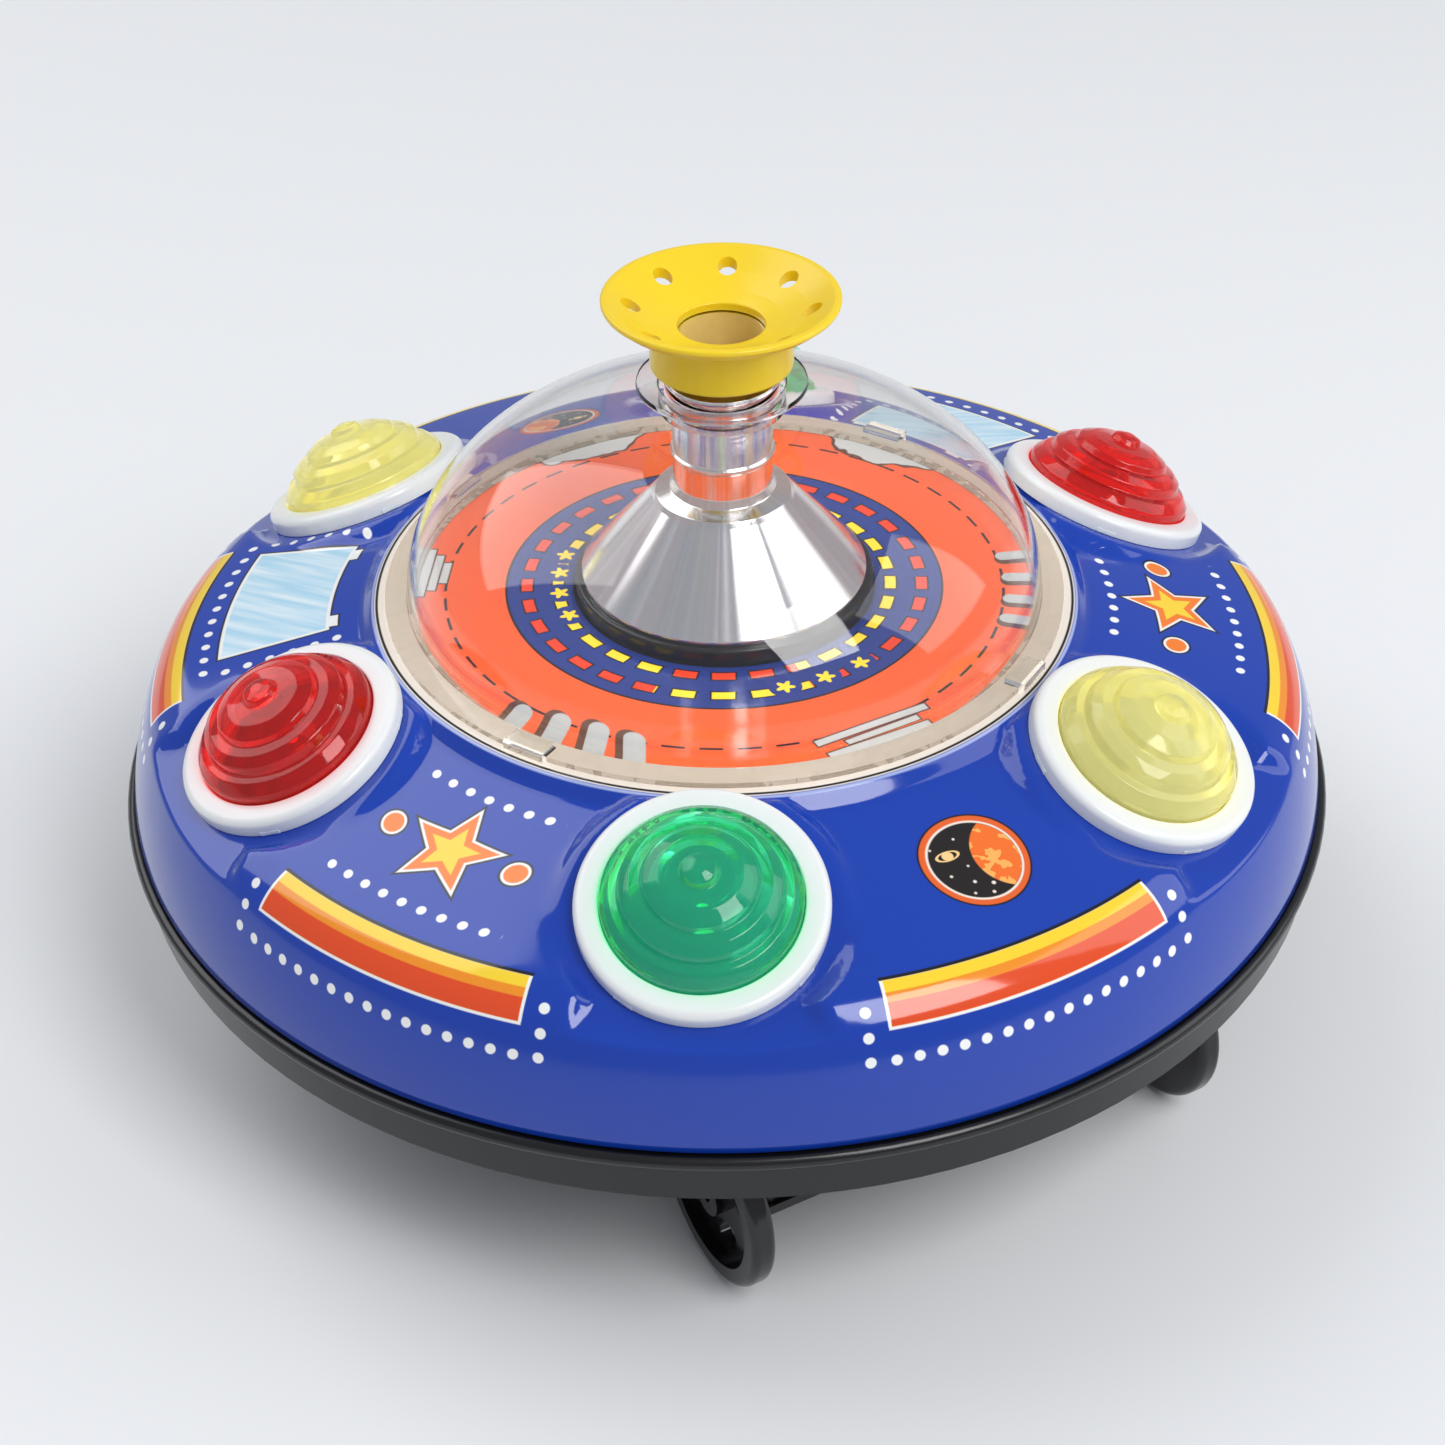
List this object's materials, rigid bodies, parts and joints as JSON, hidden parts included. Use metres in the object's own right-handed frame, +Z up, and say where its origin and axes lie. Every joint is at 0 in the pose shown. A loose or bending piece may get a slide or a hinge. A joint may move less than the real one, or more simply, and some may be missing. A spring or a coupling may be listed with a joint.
{
  "type": "battery-driven tin flying saucer toy",
  "caption": "Wheeled lithographed tin saucer with six lamps, a clear dome and a chrome air tower with a ball-floating funnel; one motor drives a fan and a free-swivelling bogie.",
  "frame": {"origin": "On the ground, under the axis of the round body", "axes": "+Z up along the axis of the saucer and its tower; -Y is the way lamp 1 faces; the tail wheels lie 31.4 degrees round from -Y towards +X"},
  "size_m": [0.1978, 0.1978, 0.121],
  "materials": {
    "litho_tin": "gloss",
    "white_plastic": "gloss",
    "lens_green": "gloss",
    "lens_yellow": "gloss",
    "lens_red": "gloss",
    "reflector_white": "matte",
    "bulb_glass": "gloss",
    "clear_plastic": "gloss",
    "black_plastic": "gloss",
    "wheel_black": "gloss",
    "tyre_rubber": "matte",
    "chrome_plating": "polished",
    "yellow_plastic": "gloss",
    "grey_plastic": "matte",
    "gear_nylon": "satin",
    "steel": "satin",
    "brass_strip": "satin",
    "cell_wrap": "gloss"
  },
  "bodies": {
    "saucer": {"tin_shell": "litho_tin", "deck_frame": "grey_plastic", "clear_dome": "clear_plastic", "dome_clips": "clear_plastic", "tower_foot_ring": "black_plastic", "chrome_tower": "chrome_plating", "funnel": "yellow_plastic", "base_pan": "black_plastic", "cell_1": "cell_wrap", "cell_2": "cell_wrap", "contact_springs": "steel", "contact_plates": "brass_strip", "gear_plate": "grey_plastic", "gear_plate_screws": "steel", "motor": "steel", "motor_cradle": "grey_plastic", "base_screws": "steel", "switch_case": "black_plastic", "bezel_1": "white_plastic", "lens_1_green": "lens_green", "reflector_1": "reflector_white", "bulb_1": "bulb_glass", "bezel_2": "white_plastic", "lens_2_yellow": "lens_yellow", "reflector_2": "reflector_white", "bulb_2": "bulb_glass", "bezel_3": "white_plastic", "lens_3_red": "lens_red", "reflector_3": "reflector_white", "bulb_3": "bulb_glass", "bezel_4": "white_plastic", "lens_4_green": "lens_green", "reflector_4": "reflector_white", "bulb_4": "bulb_glass", "bezel_5": "white_plastic", "lens_5_yellow": "lens_yellow", "reflector_5": "reflector_white", "bulb_5": "bulb_glass", "bezel_6": "white_plastic", "lens_6_red": "lens_red", "reflector_6": "reflector_white", "bulb_6": "bulb_glass"},
    "battery_cover": {"battery_door": "black_plastic"},
    "tail_wheels": {"tail_axle": "steel", "tail_wheel_left": "wheel_black", "tail_wheel_right": "wheel_black"},
    "steering_turntable": {"turntable": "black_plastic", "turntable_cap": "black_plastic"},
    "drive_wheels": {"drive_axle": "steel", "drive_wheel_left": "wheel_black", "drive_wheel_right": "wheel_black", "drive_tyre_left": "tyre_rubber", "drive_tyre_right": "tyre_rubber", "crown_gear": "gear_nylon"},
    "drive_gear_shaft": {"drive_gear": "gear_nylon"},
    "counter_gear_shaft": {"counter_gear": "gear_nylon"},
    "motor_rotor": {"motor_shaft": "steel", "motor_pinion": "gear_nylon", "fan": "gear_nylon"},
    "switch": {"switch_knob": "black_plastic"}
  },
  "joints": [
    {"name": "battery_cover_slide", "type": "slide", "parent": "saucer", "child": "battery_cover", "axis": [0.521, -0.8536, 0], "range_m": [0, 0.07]},
    {"name": "tail_wheels_roll", "type": "hinge", "parent": "saucer", "child": "tail_wheels", "pos_m": [0.036, -0.05898, 0.01475], "axis": [0.8536, 0.521, 0], "continuous": true},
    {"name": "turntable_swivel", "type": "hinge", "parent": "saucer", "child": "steering_turntable", "pos_m": [-0.02084, 0.03414, 0.0316], "axis": [0, 0, 1], "continuous": true},
    {"name": "drive_wheels_roll", "type": "hinge", "parent": "steering_turntable", "child": "drive_wheels", "pos_m": [-0.02084, 0.03414, 0.013], "axis": [0.8536, 0.521, 0], "continuous": true},
    {"name": "drive_gear_spin", "type": "hinge", "parent": "saucer", "child": "drive_gear_shaft", "pos_m": [-0.02084, 0.03414, 0.032], "axis": [0, 0, 1], "continuous": true},
    {"name": "counter_gear_spin", "type": "hinge", "parent": "saucer", "child": "counter_gear_shaft", "pos_m": [-0.00469, 0.01862, 0.04], "axis": [0, 0, 1], "continuous": true},
    {"name": "motor_spin", "type": "hinge", "parent": "saucer", "child": "motor_rotor", "pos_m": [0, 0, 0.05], "axis": [0, 0, 1], "continuous": true},
    {"name": "switch_slide", "type": "slide", "parent": "saucer", "child": "switch", "axis": [-0.521, 0.8536, 0], "range_m": [0, 0.005]}
  ],
  "couplings": [
    {"joint": "counter_gear_spin", "follows": "motor_spin", "ratio": -0.2},
    {"joint": "drive_gear_spin", "follows": "motor_spin", "ratio": 0.033333},
    {"joint": "drive_wheels_roll", "follows": "motor_spin", "ratio": -0.013333}
  ]
}
